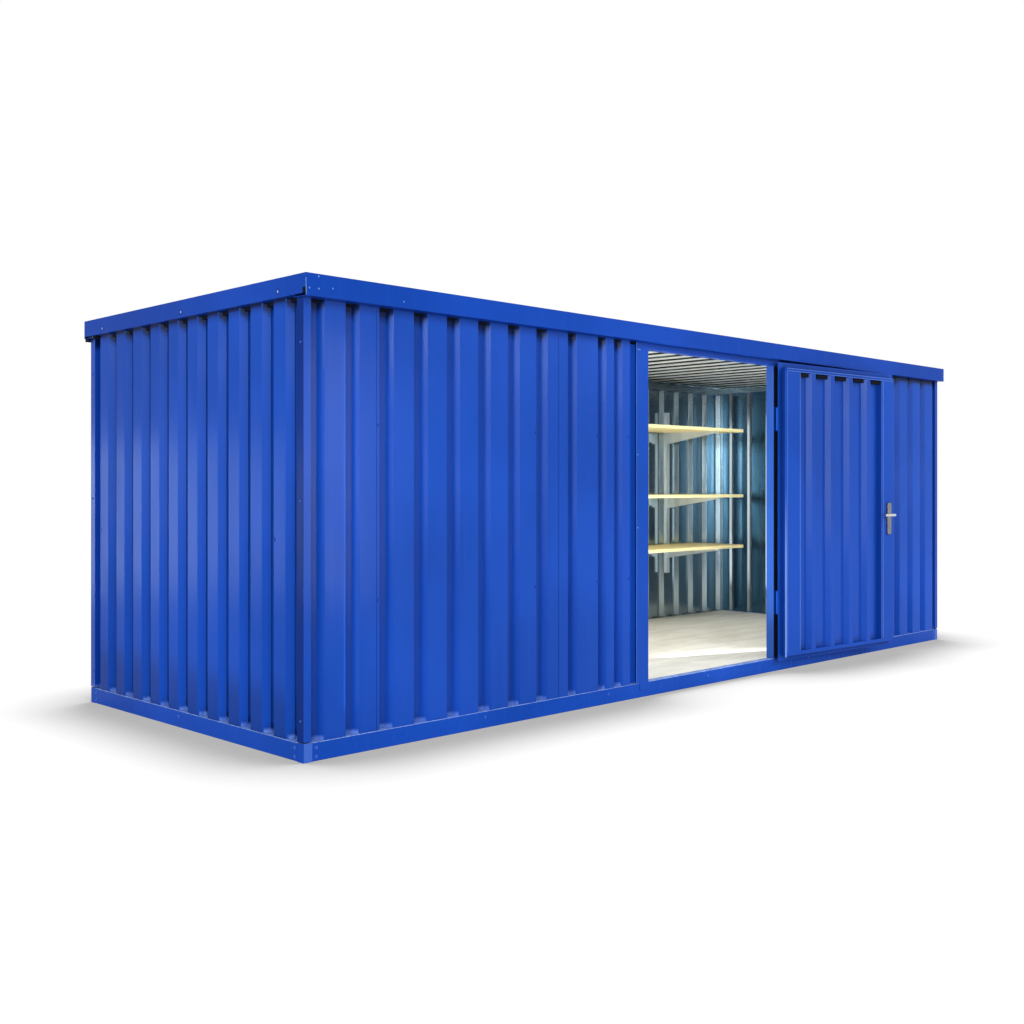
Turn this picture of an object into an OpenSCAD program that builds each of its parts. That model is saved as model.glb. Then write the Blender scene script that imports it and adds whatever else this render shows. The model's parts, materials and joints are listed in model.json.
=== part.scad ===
// Demountable storage container of trapezoidal sheet steel, with one outward-opening
// hinged door and a shelf on the rear wall. Origin: centre of the footprint, on the
// ground. +X runs along the long side, -Y faces the door side, +Z is up.

/* [Overall] */
// Length over the roof trim
length = 6080; // [4000:10:8000]
// Depth over the roof trim
depth = 2170; // [1800:10:2600]
// Height from the ground to the top of the roof trim
height = 2150; // [1900:10:2600]
// How far the roof trim stands out past the frame at each end
end_overhang = 18; // [12:1:40]
// How far the roof trim stands out past the frame at front and rear
side_overhang = 44; // [30:1:70]

/* [Base] */
// Height of the base rails
rail_h = 85; // [70:1:120]
// Width of the ledge on top of the base rails
rail_w = 46; // [44:1:60]
// Sheet thickness of the base rails
rail_t = 3; // [2:0.5:4]
// Outside bend radius of the base rails
rail_round = 4; // [3.5:0.5:4.5]
// How far the rail faces lie behind the corner blocks
rail_inset = 1; // [0.5:0.5:2]
// Plan size of the corner blocks
block_size = 50; // [46:1:60]
// Number of floor joists
joist_count = 9; // [5:1:13]
// Width of a floor joist
joist_w = 45; // [30:1:60]
// Thickness of the floor panels
floor_t = 21; // [15:1:30]
// Gap round each floor panel
floor_gap = 1; // [0.5:0.5:3]

/* [Frame] */
// Width of a corner post on the long side
post_w = 40; // [35:1:60]
// Width of a corner post on the short side
post_d = 50; // [45:1:70]
// Wall thickness of the corner posts
post_t = 2.5; // [2:0.5:4]
// Gap between a corner post and the block below it
post_gap = 5; // [2:1:8]
// Width of the door posts
jamb_w = 66; // [55:1:80]
// Depth of the door posts, face to back
jamb_d = 52; // [50:1:60]
// Thickness of the face plate on each door post
jamb_plate_t = 3; // [2:0.5:4]
// How far the left door post's face plate laps past the post over the wall sheet
jamb_lap = 42; // [0:1:55]
// How far the foot of that plate is cut back from its lapping edge
jamb_foot_cut = 32; // [0:1:55]
// How far the foot of the face plate laps down over the base rail
jamb_foot = 45; // [30:1:60]
// Height of the door header
header_h = 37; // [30:1:60]

/* [Walls] */
// Thickness of the wall and roof sheets
sheet_t = 1.5; // [1:0.1:2]
// Depth of the sheet profile
rib_depth = 35; // [30:1:38]
// Run of a rib's slope across the sheet
rib_run = 22; // [15:1:28]
// How far the outer flats lie behind the frame face
wall_setback = 5; // [5:0.5:6]
// Width of the lap between neighbouring sheets
lap = 30; // [20:1:40]
// Wide flats of the standard sheet
flat_w = 122; // [110:1:125]
// Pitch of the standard sheet
rib_pitch = 207; // [200:1:215]
// Pitch of the main front sheet left of the door
front_pitch = 209; // [200:1:215]
// Corner of the frame to the first flat of the main front sheet
front_first = 512; // [480:1:540]
// Width of a flat on the narrow sheet next to the left corner
corner_flat_w = 114; // [100:1:120]
// Pitch of the narrow sheet next to the left corner
corner_pitch = 194; // [180:1:200]
// Corner of the frame to the first flat of that sheet
corner_first = 119; // [100:1:130]
// Closing sheet left of the door: start of each flat back from the doorway
closing_starts = [753, 608, 364, 224]; // [160:1:760]
// Widths of the closing sheet's flats
closing_widths = [71, 171, 64, 63]; // [50:1:180]
// Right corner of the frame to the last flat of the front wall
right_last = 76; // [70:1:120]
// Shift of the rear wall's ribs towards the right
rear_shift = 80; // [0:1:100]
// Width of a flat on the end walls
end_flat_w = 94; // [80:1:100]
// Pitch of the end walls
end_pitch = 192.5; // [170:0.5:193]
// Shift of the left end wall's flats towards the rear, and of the right one's to the front
end_shift = 20; // [0:1:20]

/* [Roof] */
// Pitch of the roof sheets' ribs
roof_pitch = 188; // [170:1:215]
// Width of the flat pans between the ribs
roof_pan_w = 94; // [80:1:110]
// Height of the front roof profile
fascia_h = 100; // [90:1:120]
// How much lower the rear roof profile's fascia ends
rear_fascia_drop = 14; // [0:1:20]
// How much shorter the end fascias are
end_fascia_rise = 12; // [8:1:20]
// Sheet thickness of the roof profiles
fascia_t = 2; // [1.5:0.5:3]
// Height of the inner web of the roof profiles
web_h = 60; // [55:1:64]
// Width of the lip that carries the roof sheets
roof_lip = 40; // [30:1:50]
// Width of the top flange of the front profile
top_flange = 30; // [16:1:35]
// How far the roof sheets reach past the inner web at the front
roof_over_front = 30; // [20:1:40]
// How far the roof sheets reach over the gutter at the rear
roof_over_rear = 20; // [10:1:40]

/* [Door] */
// Corner of the frame to the left side of the doorway
door_offset = 2395; // [2200:5:2600]
// Clear width of the doorway
door_w = 1305; // [1000:5:1500]
// Hinge axis to the right side of the doorway
hinge_offset = 14; // [12:1:18]
// Hinge axis in front of the frame face
hinge_stand = 21; // [21:1:24]
// Opening angle of the door as drawn
door_open = 176; // [0:1:176]
// Hinge axis to the box part of the leaf
leaf_start = 40; // [36:1:60]
// Gap between the box part of the leaf and the lock side of the doorway
lock_gap = 9; // [7:1:12]
// Thickness of the box part of the leaf
leaf_t = 35; // [30:1:38]
// Sheet thickness of the leaf frame
leaf_sheet_t = 2; // [1.5:0.5:3]
// Width of the lap flange past the lock side of the leaf's box part
lock_flange = 40; // [25:1:45]
// Width of the leaf's hinge stile
hinge_stile_w = 150; // [100:1:160]
// Width of the leaf's lock stile
lock_stile_w = 150; // [120:1:160]
// Height of the leaf's top and bottom rails
leaf_rail_h = 25; // [20:1:40]
// Gap between the leaf's box part and the header
leaf_top_gap = 13; // [7:1:20]
// Gap between the leaf's box part and the sill
leaf_sill_gap = 15; // [7:1:20]
// How far the lap flange stands out above the leaf's box part
leaf_lap_top = 34; // [20:1:36]
// How far the lap flange hangs down below the leaf's box part
leaf_lap_foot = 30; // [15:1:40]
// Hinge stile to the leaf's first rib
leaf_first_rib = 131; // [110:1:150]
// Pitch of the ribs in the leaf
leaf_pitch = 218; // [200:1:225]
// Width of the raised ribs on the inside of the leaf
leaf_rib_w = 42; // [36:1:50]
// Run of the leaf ribs' slopes
leaf_run = 25; // [20:1:28]

/* [Hinges] */
// Length of a hinge
hinge_len = 150; // [120:1:200]
// Share of a hinge's length taken by the frame half's knuckle
hinge_share = 0.44; // [0.4:0.01:0.6]
// Radius of a hinge knuckle
knuckle_r = 8; // [7:0.5:8]
// Radius of a hinge pin
pin_r = 5; // [4:0.5:5.5]
// Running clearance round a hinge pin
pin_clear = 0.05; // [0.02:0.01:0.1]
// Ground to the middle of the lower hinge
hinge_low = 454; // [350:1:600]
// Top of the container down to the middle of the upper hinge
hinge_high = 490; // [400:1:600]

/* [Lock and handle] */
// Ground to the handle's axis
handle_z = 1011; // [900:1:1100]
// Lock side of the leaf's box part to the handle's axis
backset = 62; // [50:1:80]
// Width of an escutcheon plate
plate_w = 48; // [40:1:60]
// Height of an escutcheon plate
plate_h = 226; // [200:1:250]
// Thickness of an escutcheon plate
plate_t = 10; // [6:1:13]
// Handle's axis down from the top of its plate
plate_top = 88; // [70:1:100]
// Corner radius of an escutcheon plate
plate_round = 12; // [6:1:20]
// Radius of the lever's bar
lever_r = 9.5; // [8:0.5:11]
// Length of the lever's bar
lever_len = 130; // [110:1:145]
// Length of the lever's neck
lever_neck = 48; // [40:1:60]
// Handle's axis down to the key cylinder's axis
key_drop = 92; // [72:1:92]

/* [Shelves] */
// Right end of the frame to the right end of the shelf boards
shelf_from_right = 515; // [300:1:1200]
// Length of the shelf boards
shelf_len = 2660; // [2300:10:3000]
// Depth of the shelf boards
shelf_d = 530; // [400:5:560]
// Thickness of the shelf boards
shelf_t = 25; // [18:1:30]
// Floor to the top of the low shelf board
shelf_low = 635; // [500:5:750]
// Floor to the top of the middle shelf board
shelf_middle = 1065; // [900:5:1200]
// Floor to the top of the top shelf board
shelf_top = 1620; // [1400:5:1750]
// Wall ribs from one shelf support to the next
support_ribs = 5; // [3:1:6]
// Right end of the boards to the first support, at the nearest wall rib
support_first = 330; // [250:5:400]
// Width of a shelf upright
upright_w = 40; // [30:1:50]
// Depth of a shelf upright
upright_d = 28; // [20:1:35]
// Height of a bracket at the upright
bracket_h = 95; // [70:1:120]
// Thickness of a bracket
bracket_t = 3; // [2:0.5:4]

/* [Hidden] */

paint = [0.10, 0.24, 0.68];
zinc = [0.72, 0.76, 0.79];
steel = [0.75, 0.75, 0.74];
wood = [0.90, 0.80, 0.52];
deck = [0.80, 0.78, 0.74];

// Clearance where a piece is slipped in beside its neighbour
fit = 0.5;
// Step between lapped sheets
lap_step = sheet_t + 0.3;
// Least width of a groove at the end of a sheet
least_groove = 10;

// Frame box inside the roof trim
frame_x = length / 2 - end_overhang;
frame_y = depth / 2 - side_overhang;
// Underside of the front and rear roof profiles, and of the end fascias
eave_z = height - fascia_h;
end_eave_z = eave_z + end_fascia_rise;
// Inner faces of the roof profiles
web_y = frame_y - post_d;
web_x = frame_x - post_d;
// Underside of the roof sheets
roof_z = eave_z + web_h;
// Outer flats of the walls
wall_y = frame_y - wall_setback;
wall_x = frame_x - wall_setback;
// Floor between the corner blocks
room_x = frame_x - block_size;
room_y = frame_y - block_size;

// Doorway
door_left = -frame_x + door_offset;
door_right = door_left + door_w;
door_top = eave_z - header_h;
jamb_y = -frame_y + 1;
plate_y = jamb_y - jamb_plate_t;

// Door leaf, measured from the hinge axis: s runs to the lock side, n to the inside
hinge_x = door_right + hinge_offset;
hinge_y = -frame_y - hinge_stand;
flange_n = 10;
skin_n = flange_n + leaf_sheet_t;
inside_n = flange_n + leaf_t;
flange_start = -7;
leaf_end = hinge_offset + door_w - lock_gap;
flange_end = leaf_end + lock_flange;
leaf_low = rail_h + leaf_sill_gap;
leaf_high = door_top - leaf_top_gap;
flange_low = leaf_low - leaf_lap_foot;
flange_high = leaf_high + leaf_lap_top;
sheet_start = leaf_start + hinge_stile_w;
sheet_end = leaf_end - lock_stile_w;
rail_low_top = leaf_low + leaf_rail_h;
rail_high_foot = leaf_high - leaf_rail_h;
handle_s = leaf_end - backset;
spindle_r = 6;
spindle_hole_r = spindle_r + 1;
neck_r = 8;
key_r = 8.5;
hinge_zs = [hinge_low, height - hinge_high];
frame_knuckle = hinge_len * hinge_share;

// Front wall left of the door: the main sheet laps over the corner sheet, and the
// closing sheet over the main one
wall_tall = eave_z - rail_h;
closing_start = door_left - closing_starts[0];
main_lead = -frame_x + front_first - front_pitch + flat_w;
front_lap = 15;

// Front wall right of the door: flats counted from the right corner post
right_first = frame_x - right_last - flat_w;
right_count = floor((right_first - rib_run - least_groove - door_right - jamb_w) / rib_pitch) + 1;
right_flats = even_flats(right_first - (right_count - 1) * rib_pitch, right_count, rib_pitch, flat_w);
right_split = floor(right_count / 2);

// Rear wall
rear_reach = frame_x - post_w - fit;
rear_room = 2 * (rear_reach - rib_run - least_groove - rear_shift) - flat_w;
rear_count = floor(rear_room / rib_pitch) + 1;
rear_flats = even_flats(-((rear_count - 1) * rib_pitch + flat_w) / 2 + rear_shift,
                        rear_count, rib_pitch, flat_w);
rear_third = floor(rear_count / 3);

// Roof sheets: a pan in the middle, and an outer pan at each end that runs on over the
// end profile's lip
roof_front = -web_y - roof_over_front;
roof_rear = web_y + roof_over_rear;
roof_side = length / 2 - 2 * fascia_t;
roof_half = floor((web_x - least_groove + roof_pan_w / 2) / roof_pitch);
roof_count = 2 * roof_half + 1;
roof_even = even_flats(-roof_half * roof_pitch - roof_pan_w / 2, roof_count, roof_pitch, roof_pan_w);
roof_pans = [for (i = [0:roof_count - 1])
    i == 0 ? [-roof_side, roof_even[i][1]]
    : i == roof_count - 1 ? [roof_even[i][0], roof_side] : roof_even[i]];
roof_third = floor(roof_count / 3);

// Shelf boards and their supports
shelf_tops = [for (top = [shelf_low, shelf_middle, shelf_top]) rail_h + top];
shelf_right = frame_x - shelf_from_right;
wall_inside_y = wall_y - rib_depth - sheet_t;
upright_y = wall_inside_y - upright_d;
shelf_front_y = upright_y - shelf_d;
support_pitch = support_ribs * rib_pitch;
// Middle of the wall ribs, seen from inside, counted from the left
function rib_x(k) = rear_flats[0][1] + k * rib_pitch + (rib_pitch - flat_w) / 2;
first_support = rib_x(round((shelf_right - support_first - rib_x(0)) / rib_pitch));
support_count = floor((first_support - shelf_right + shelf_len - upright_w) / support_pitch) + 1;
support_xs = [for (i = [0:support_count - 1]) first_support - i * support_pitch];

// Points of an arc
function arc(cx, cy, r, from, to, steps = 4) =
    [for (i = [0:steps]) let (a = from + (to - from) * i / steps)
        [cx + r * cos(a), cy + r * sin(a)]];

// Outer line of a profiled sheet: flats at depth 0, grooves at the rib depth.
// The line starts and ends on a flat where first or last is true, else in a groove.
function rib_line(from, to, flats, run, deep, first, last) =
    concat(
        first ? [[from, 0]] : [[from, deep], [flats[0][0] - run, deep], [flats[0][0], 0]],
        [for (i = [0:len(flats) - 2]) each [
            [flats[i][1], 0], [flats[i][1] + run, deep],
            [flats[i + 1][0] - run, deep], [flats[i + 1][0], 0]]],
        last ? [[to, 0]]
             : [[flats[len(flats) - 1][1], 0], [flats[len(flats) - 1][1] + run, deep], [to, deep]]);

// The same line moved inwards by the sheet's thickness
function inner_line(line, t) =
    [for (i = [0:len(line) - 1])
        let (p = line[i],
             a = i == 0 ? [1, 0] : unit(p - line[i - 1]),
             b = i == len(line) - 1 ? [1, 0] : unit(line[i + 1] - p),
             turn = [-(a + b)[1], (a + b)[0]])
        p + turn * t * 2 / (turn * turn)];
function unit(v) = v / norm(v);

// Profiled sheet standing on its edge: x along the wall, y inwards, z up
module profiled_sheet(line, t, tall) {
    linear_extrude(tall) polygon(concat(line, reverse(inner_line(line, t))));
}
function reverse(list) = [for (i = [len(list) - 1:-1:0]) list[i]];

// Evenly spaced flats
function even_flats(first, count, pitch, w) =
    [for (i = [0:count - 1]) [first + i * pitch, first + i * pitch + w]];

// Rectangle with round corners, made of exact pieces
module round_rect(w, h, r) {
    translate([r, 0]) square([w - 2 * r, h]);
    translate([0, r]) square([w, h - 2 * r]);
    for (x = [r, w - r], y = [r, h - r]) translate([x, y]) circle(r, $fn = 32);
}

// Box with walls t thick, open along z
module tube(size, t) {
    difference() {
        cube(size);
        translate([t, t, -1]) cube([size[0] - 2 * t, size[1] - 2 * t, size[2] + 2]);
    }
}

// ---- Base ----

// Folded channel with its web outside: x along the rail, y inwards
module base_rail(len) {
    inner_r = rail_round - rail_t;
    section = concat(
        [[rail_w, rail_h]],
        arc(rail_round, rail_h - rail_round, rail_round, 90, 180),
        arc(rail_round, rail_round, rail_round, 180, 270),
        [[rail_w, 0], [rail_w, rail_t]],
        arc(rail_round, rail_round, inner_r, 270, 180),
        arc(rail_round, rail_h - rail_round, inner_r, 180, 90),
        [[rail_w, rail_h - rail_t]]);
    color(paint) rotate([90, 0, 90]) linear_extrude(len) polygon(section);
}

module base_rail_front() {
    translate([-frame_x + block_size, -frame_y + rail_inset, 0])
        base_rail(2 * (frame_x - block_size));
}

module base_rail_rear() {
    rotate([0, 0, 180]) base_rail_front();
}

module base_rail_left() {
    translate([-frame_x + rail_inset, frame_y - block_size, 0])
        rotate([0, 0, -90]) base_rail(2 * (frame_y - block_size));
}

module base_rail_right() {
    rotate([0, 0, 180]) base_rail_left();
}

module base_corner_blocks() {
    color(paint)
        for (sx = [-1, 1], sy = [-1, 1])
            translate([sx * (frame_x - block_size / 2), sy * (frame_y - block_size / 2), 0])
                difference() {
                    translate([-block_size / 2, -block_size / 2, 0])
                        linear_extrude(rail_h) round_rect(block_size, block_size, rail_round);
                    translate([-block_size / 2 + rail_t, -block_size / 2 + rail_t, -1])
                        cube([block_size - 2 * rail_t, block_size - 2 * rail_t, rail_h - rail_t + 1]);
                }
}

// Channel joists that stand on the lower flanges of the long rails
module floor_joists() {
    joist_h = rail_h - floor_t - rail_t;
    span = 2 * (frame_y - rail_inset - rail_round);
    reach = frame_x - rail_inset - rail_w - joist_w;
    color(zinc)
        for (i = [0:joist_count - 1])
            translate([-reach - joist_w / 2 + 2 * reach * i / (joist_count - 1), -span / 2, rail_t])
                difference() {
                    cube([joist_w, span, joist_h]);
                    translate([rail_t, -1, rail_t])
                        cube([joist_w, span + 2, joist_h - 2 * rail_t]);
                }
}

// One of three panels side by side
module floor_panel(index) {
    panel = 2 * room_x / 3;
    color(deck)
        translate([-room_x + index * panel + floor_gap, -room_y + floor_gap, rail_h - floor_t])
            cube([panel - 2 * floor_gap, 2 * (room_y - floor_gap), floor_t]);
}
module floor_panel_left() { floor_panel(0); }
module floor_panel_middle() { floor_panel(1); }
module floor_panel_right() { floor_panel(2); }

// ---- Frame ----

module corner_post(sx, sy) {
    foot = rail_h + post_gap;
    mirror([sx > 0 ? 1 : 0, 0, 0]) mirror([0, sy > 0 ? 1 : 0, 0])
        color(paint)
            translate([-frame_x, -frame_y, foot])
                tube([post_w, post_d, eave_z - foot], post_t);
}
module corner_post_front_left() { corner_post(-1, -1); }
module corner_post_front_right() { corner_post(1, -1); }
module corner_post_rear_left() { corner_post(-1, 1); }
module corner_post_rear_right() { corner_post(1, 1); }

// Hollow door post with a face plate that may lap past it over the wall sheet, and whose
// foot laps down over the base rail
module door_post(from, lap_left, foot_cut) {
    color(paint) {
        translate([from, jamb_y, rail_h]) tube([jamb_w, jamb_d, eave_z - rail_h], jamb_plate_t);
        translate([from - lap_left, plate_y, rail_h])
            cube([jamb_w + lap_left, jamb_plate_t, eave_z - rail_h]);
        translate([from - lap_left + foot_cut, plate_y, rail_h - jamb_foot])
            cube([jamb_w + lap_left - foot_cut, jamb_plate_t, jamb_foot]);
    }
}
module door_post_left() { door_post(door_left - jamb_w, jamb_lap, jamb_foot_cut); }
module door_post_right() { door_post(door_right, 0, 0); }

module door_header() {
    color(paint)
        translate([door_left, jamb_y, door_top])
            rotate([90, 0, 90]) tube([jamb_d, header_h, door_w], jamb_plate_t);
}

// ---- Walls ----

// A sheet of the front wall: x as in the model, y inwards from the outer flats
module front_sheet(line, step) {
    color(paint)
        translate([0, -wall_y + step, rail_h])
            profiled_sheet(line, sheet_t, wall_tall);
}

// Narrow sheet between the left corner post and the main sheet
module wall_front_corner_sheet() {
    flats = even_flats(-frame_x + corner_first, 2, corner_pitch, corner_flat_w);
    front_sheet(rib_line(-frame_x + post_w + fit, main_lead - lap_step, flats,
                         rib_run, rib_depth - lap_step, false, true), lap_step);
}

// Main sheet: even ribs up to the closing sheet, which laps over its last flat
module wall_front_main_sheet() {
    first = -frame_x + front_first;
    count = floor((closing_start - first) / front_pitch) + 1;
    regular = even_flats(first, count, front_pitch, flat_w);
    flats = concat([[main_lead - front_lap, main_lead]], [for (i = [0:count - 2]) regular[i]],
                   [[regular[count - 1][0], closing_start + lap]]);
    front_sheet(rib_line(flats[0][0], closing_start + lap, flats,
                         rib_run, rib_depth, true, true), 0);
}

module wall_front_closing_sheet() {
    flats = [for (i = [0:len(closing_starts) - 1])
        let (start = door_left - closing_starts[i]) [start, start + closing_widths[i]]];
    front_sheet(rib_line(flats[0][0], door_left - jamb_w - fit, flats,
                         rib_run, rib_depth + lap_step, true, false), -lap_step);
}

module wall_front_right_inner_sheet() {
    flats = [for (i = [0:right_split]) i < right_split ? right_flats[i]
        : [right_flats[i][0], right_flats[i][0] + flat_w / 2 + lap]];
    front_sheet(rib_line(door_right + jamb_w + fit, flats[right_split][1], flats,
                         rib_run, rib_depth - lap_step, false, true), lap_step);
}

module wall_front_right_outer_sheet() {
    flats = [for (i = [right_split:right_count - 1]) i > right_split ? right_flats[i]
        : [right_flats[i][0] + flat_w / 2, right_flats[i][1]]];
    front_sheet(rib_line(flats[0][0], frame_x - post_w - fit, flats,
                         rib_run, rib_depth, true, false), 0);
}

// Flats from one index to another, the end ones cut back to a lap at their middle
function part_of(flats, i, j, cut_first, cut_last) =
    [for (k = [i:j])
        let (mid = (flats[k][0] + flats[k][1]) / 2)
        k == i && cut_first ? [mid - lap / 2, flats[k][1]]
        : k == j && cut_last ? [flats[k][0], mid + lap / 2]
        : flats[k]];

// Rear wall in three sheets; the middle one laps behind the outer two
module rear_sheet(line, step) {
    mirror([0, 1, 0]) front_sheet(line, step);
}

module wall_rear_left_sheet() {
    flats = part_of(rear_flats, 0, rear_third, false, true);
    rear_sheet(rib_line(-rear_reach, flats[rear_third][1], flats,
                        rib_run, rib_depth, false, true), 0);
}

module wall_rear_middle_sheet() {
    flats = part_of(rear_flats, rear_third, rear_count - 1 - rear_third, true, true);
    rear_sheet(rib_line(flats[0][0], flats[len(flats) - 1][1], flats,
                        rib_run, rib_depth - lap_step, true, true), lap_step);
}

module wall_rear_right_sheet() {
    flats = part_of(rear_flats, rear_count - 1 - rear_third, rear_count - 1, true, false);
    rear_sheet(rib_line(flats[0][0], rear_reach, flats,
                        rib_run, rib_depth, true, false), 0);
}

// End walls: x of the sheet runs from front to rear
module wall_end_left() {
    reach = frame_y - post_d - fit;
    count = floor((2 * (reach - rib_run - least_groove - end_shift) - end_flat_w) / end_pitch) + 1;
    first = -((count - 1) * end_pitch + end_flat_w) / 2 + end_shift;
    line = rib_line(-reach, reach, even_flats(first, count, end_pitch, end_flat_w),
                    rib_run, rib_depth, false, false);
    color(paint)
        translate([-wall_x, 0, rail_h])
            mirror([1, 0, 0]) rotate([0, 0, 90])
                profiled_sheet(line, sheet_t, end_eave_z - rail_h);
}
module wall_end_right() { rotate([0, 0, 180]) wall_end_left(); }

// ---- Roof ----

// Long roof profile: fascia, underside, inner web and the lip for the roof sheets.
// x runs along the roof; the fascia faces -y.
module long_profile(tall, top) {
    wide = depth / 2 - web_y;
    color(paint)
        translate([-length / 2 + fascia_t, -depth / 2, eave_z])
            rotate([90, 0, 90]) linear_extrude(length - 2 * fascia_t) {
                square([fascia_t, tall]);
                square([wide, fascia_t]);
                translate([wide - fascia_t, 0]) square([fascia_t, web_h]);
                translate([wide - fascia_t, web_h - fascia_t]) square([roof_lip, fascia_t]);
                if (top) translate([0, tall - fascia_t]) square([top_flange, fascia_t]);
            }
}
module roof_profile_front() { long_profile(fascia_h, true); }
module roof_profile_rear() { rotate([0, 0, 180]) long_profile(fascia_h - rear_fascia_drop, false); }

// End fascia over the ends of the long profiles, with the end wall's top channel
module roof_end(sx) {
    wide = length / 2 - web_x;
    inner = 2 * (web_y - roof_lip - fit);
    between = 2 * (web_y - fit);
    mirror([sx > 0 ? 1 : 0, 0, 0])
        color(paint)
            translate([-length / 2, 0, 0]) {
                translate([0, -depth / 2, end_eave_z])
                    cube([fascia_t, depth, fascia_h - end_fascia_rise]);
                translate([0, -between / 2, end_eave_z])
                    cube([wide, between, fascia_t]);
                translate([wide - fascia_t, -between / 2, end_eave_z])
                    cube([fascia_t, between, web_h - end_fascia_rise - fascia_t - fit]);
                translate([wide - fascia_t, -inner / 2, end_eave_z])
                    cube([fascia_t, inner, web_h - end_fascia_rise]);
                translate([wide - fascia_t, -inner / 2, roof_z - fascia_t])
                    cube([roof_lip, inner, fascia_t]);
            }
}
module roof_end_left() { roof_end(-1); }
module roof_end_right() { roof_end(1); }

// Roof sheets: ribs run from front to rear and stand up from wide pans
module roof_sheet(line, step) {
    color(zinc)
        translate([0, roof_rear, roof_z + step])
            rotate([90, 0, 0])
                profiled_sheet(line, sheet_t, roof_rear - roof_front);
}

module roof_sheet_left() {
    pans = part_of(roof_pans, 0, roof_third, false, true);
    roof_sheet(rib_line(pans[0][0], pans[roof_third][1], pans,
                        rib_run, rib_depth - sheet_t, true, true), 0);
}

module roof_sheet_middle() {
    pans = part_of(roof_pans, roof_third, roof_count - 1 - roof_third, true, true);
    roof_sheet(rib_line(pans[0][0], pans[len(pans) - 1][1], pans,
                        rib_run, rib_depth - sheet_t - lap_step, true, true), lap_step);
}

module roof_sheet_right() {
    mirror([1, 0, 0]) roof_sheet_left();
}

// ---- Shelves ----

// Channel uprights on the wall's ribs, with two slots for each bracket's hooks
module shelf_uprights() {
    sheet = 2;
    below = 250;
    above = 150;
    slot = [4, 3 * sheet, 25];
    slot_apart = 18;
    foot = shelf_tops[0] - below;
    tall = shelf_tops[2] + above - foot;
    color(zinc)
        for (x = support_xs)
            translate([x, upright_y, foot])
                difference() {
                    translate([-upright_w / 2, 0, 0]) cube([upright_w, upright_d, tall]);
                    translate([-upright_w / 2 + sheet, sheet, -1])
                        cube([upright_w - 2 * sheet, upright_d, tall + 2]);
                    for (top = shelf_tops, side = [-1, 1])
                        translate([side * slot_apart / 2 - slot[0] / 2, -sheet,
                                   top - shelf_t - bracket_h / 2 - foot])
                            cube(slot);
                }
}

// Cantilever bracket under each board at each upright: two tapered plates side by side
module shelf_brackets() {
    reach = shelf_d - 10;
    tip = 12;
    apart = 18;
    color(zinc)
        for (x = support_xs, top = shelf_tops, side = [-1, 1])
            translate([x + side * apart / 2 + bracket_t / 2, upright_y, top - shelf_t])
                rotate([90, 0, -90])
                    linear_extrude(bracket_t)
                        polygon([[0, 0], [reach, 0], [reach, -tip], [0, -bracket_h]]);
}

module shelf_board(index) {
    color(wood)
        translate([shelf_right - shelf_len, shelf_front_y, shelf_tops[index] - shelf_t])
            cube([shelf_len, shelf_d, shelf_t]);
}
module shelf_board_low() { shelf_board(0); }
module shelf_board_middle() { shelf_board(1); }
module shelf_board_top() { shelf_board(2); }

// ---- Hinges ----

// Frame half: knuckle with its pin, an arm round the leaf's flange, a plate on the post
module hinge_frame_halves() {
    arm = 22;
    arm_t = 4;
    plate = [30, 3, frame_knuckle];
    post_n = plate_y - hinge_y;
    color(paint)
        for (z = hinge_zs)
            translate([hinge_x, hinge_y, z - hinge_len / 2]) {
                cylinder(h = frame_knuckle, r = knuckle_r, $fn = 48);
                cylinder(h = hinge_len - arm_t, r = pin_r, $fn = 48);
                translate([0, -arm_t / 2, 0]) cube([arm, arm_t, frame_knuckle]);
                translate([arm - arm_t, -arm_t / 2, 0])
                    cube([arm_t, post_n + arm_t / 2, frame_knuckle]);
                translate([arm - arm_t, post_n - plate[1], 0]) cube(plate);
            }
}

// Everything on the leaf is drawn closed, then swung open about the hinge axis
module on_leaf() {
    translate([hinge_x, hinge_y, 0])
        rotate([0, 0, door_open])
            mirror([1, 0, 0])
                children();
}

// Leaf half: knuckle that turns on the pin, closed at its top, and a strap on the flange
module door_hinge_halves() {
    gap = 0.3;
    cap = 3;
    strap_t = 4;
    strap_w = 45;
    knuckle = hinge_len - frame_knuckle - gap;
    color(paint)
        on_leaf()
            for (z = hinge_zs)
                translate([0, 0, z + hinge_len / 2 - knuckle])
                    difference() {
                        union() {
                            cylinder(h = knuckle, r = knuckle_r, $fn = 48);
                            translate([0, flange_n - strap_t, 0]) cube([strap_w, strap_t, knuckle]);
                        }
                        translate([0, 0, -cap])
                            cylinder(h = knuckle, r = pin_r + pin_clear, $fn = 48);
                    }
}

// ---- Door leaf ----

// Profiled sheet between the stiles and rails of the leaf
module door_sheet() {
    first_rib = sheet_start + leaf_first_rib;
    rib_room = sheet_end - first_rib - leaf_rib_w - leaf_run - least_groove;
    rib_count = floor(rib_room / leaf_pitch) + 1;
    flats = [for (i = [0:rib_count])
        [i == 0 ? sheet_start : first_rib + (i - 1) * leaf_pitch + leaf_rib_w + leaf_run,
         i == rib_count ? sheet_end : first_rib + i * leaf_pitch - leaf_run]];
    color(paint)
        on_leaf()
            translate([0, flange_n, rail_low_top])
                profiled_sheet(rib_line(sheet_start, sheet_end, flats, leaf_run,
                                        leaf_t - sheet_t, true, true),
                               sheet_t, rail_high_foot - rail_low_top);
}

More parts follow.
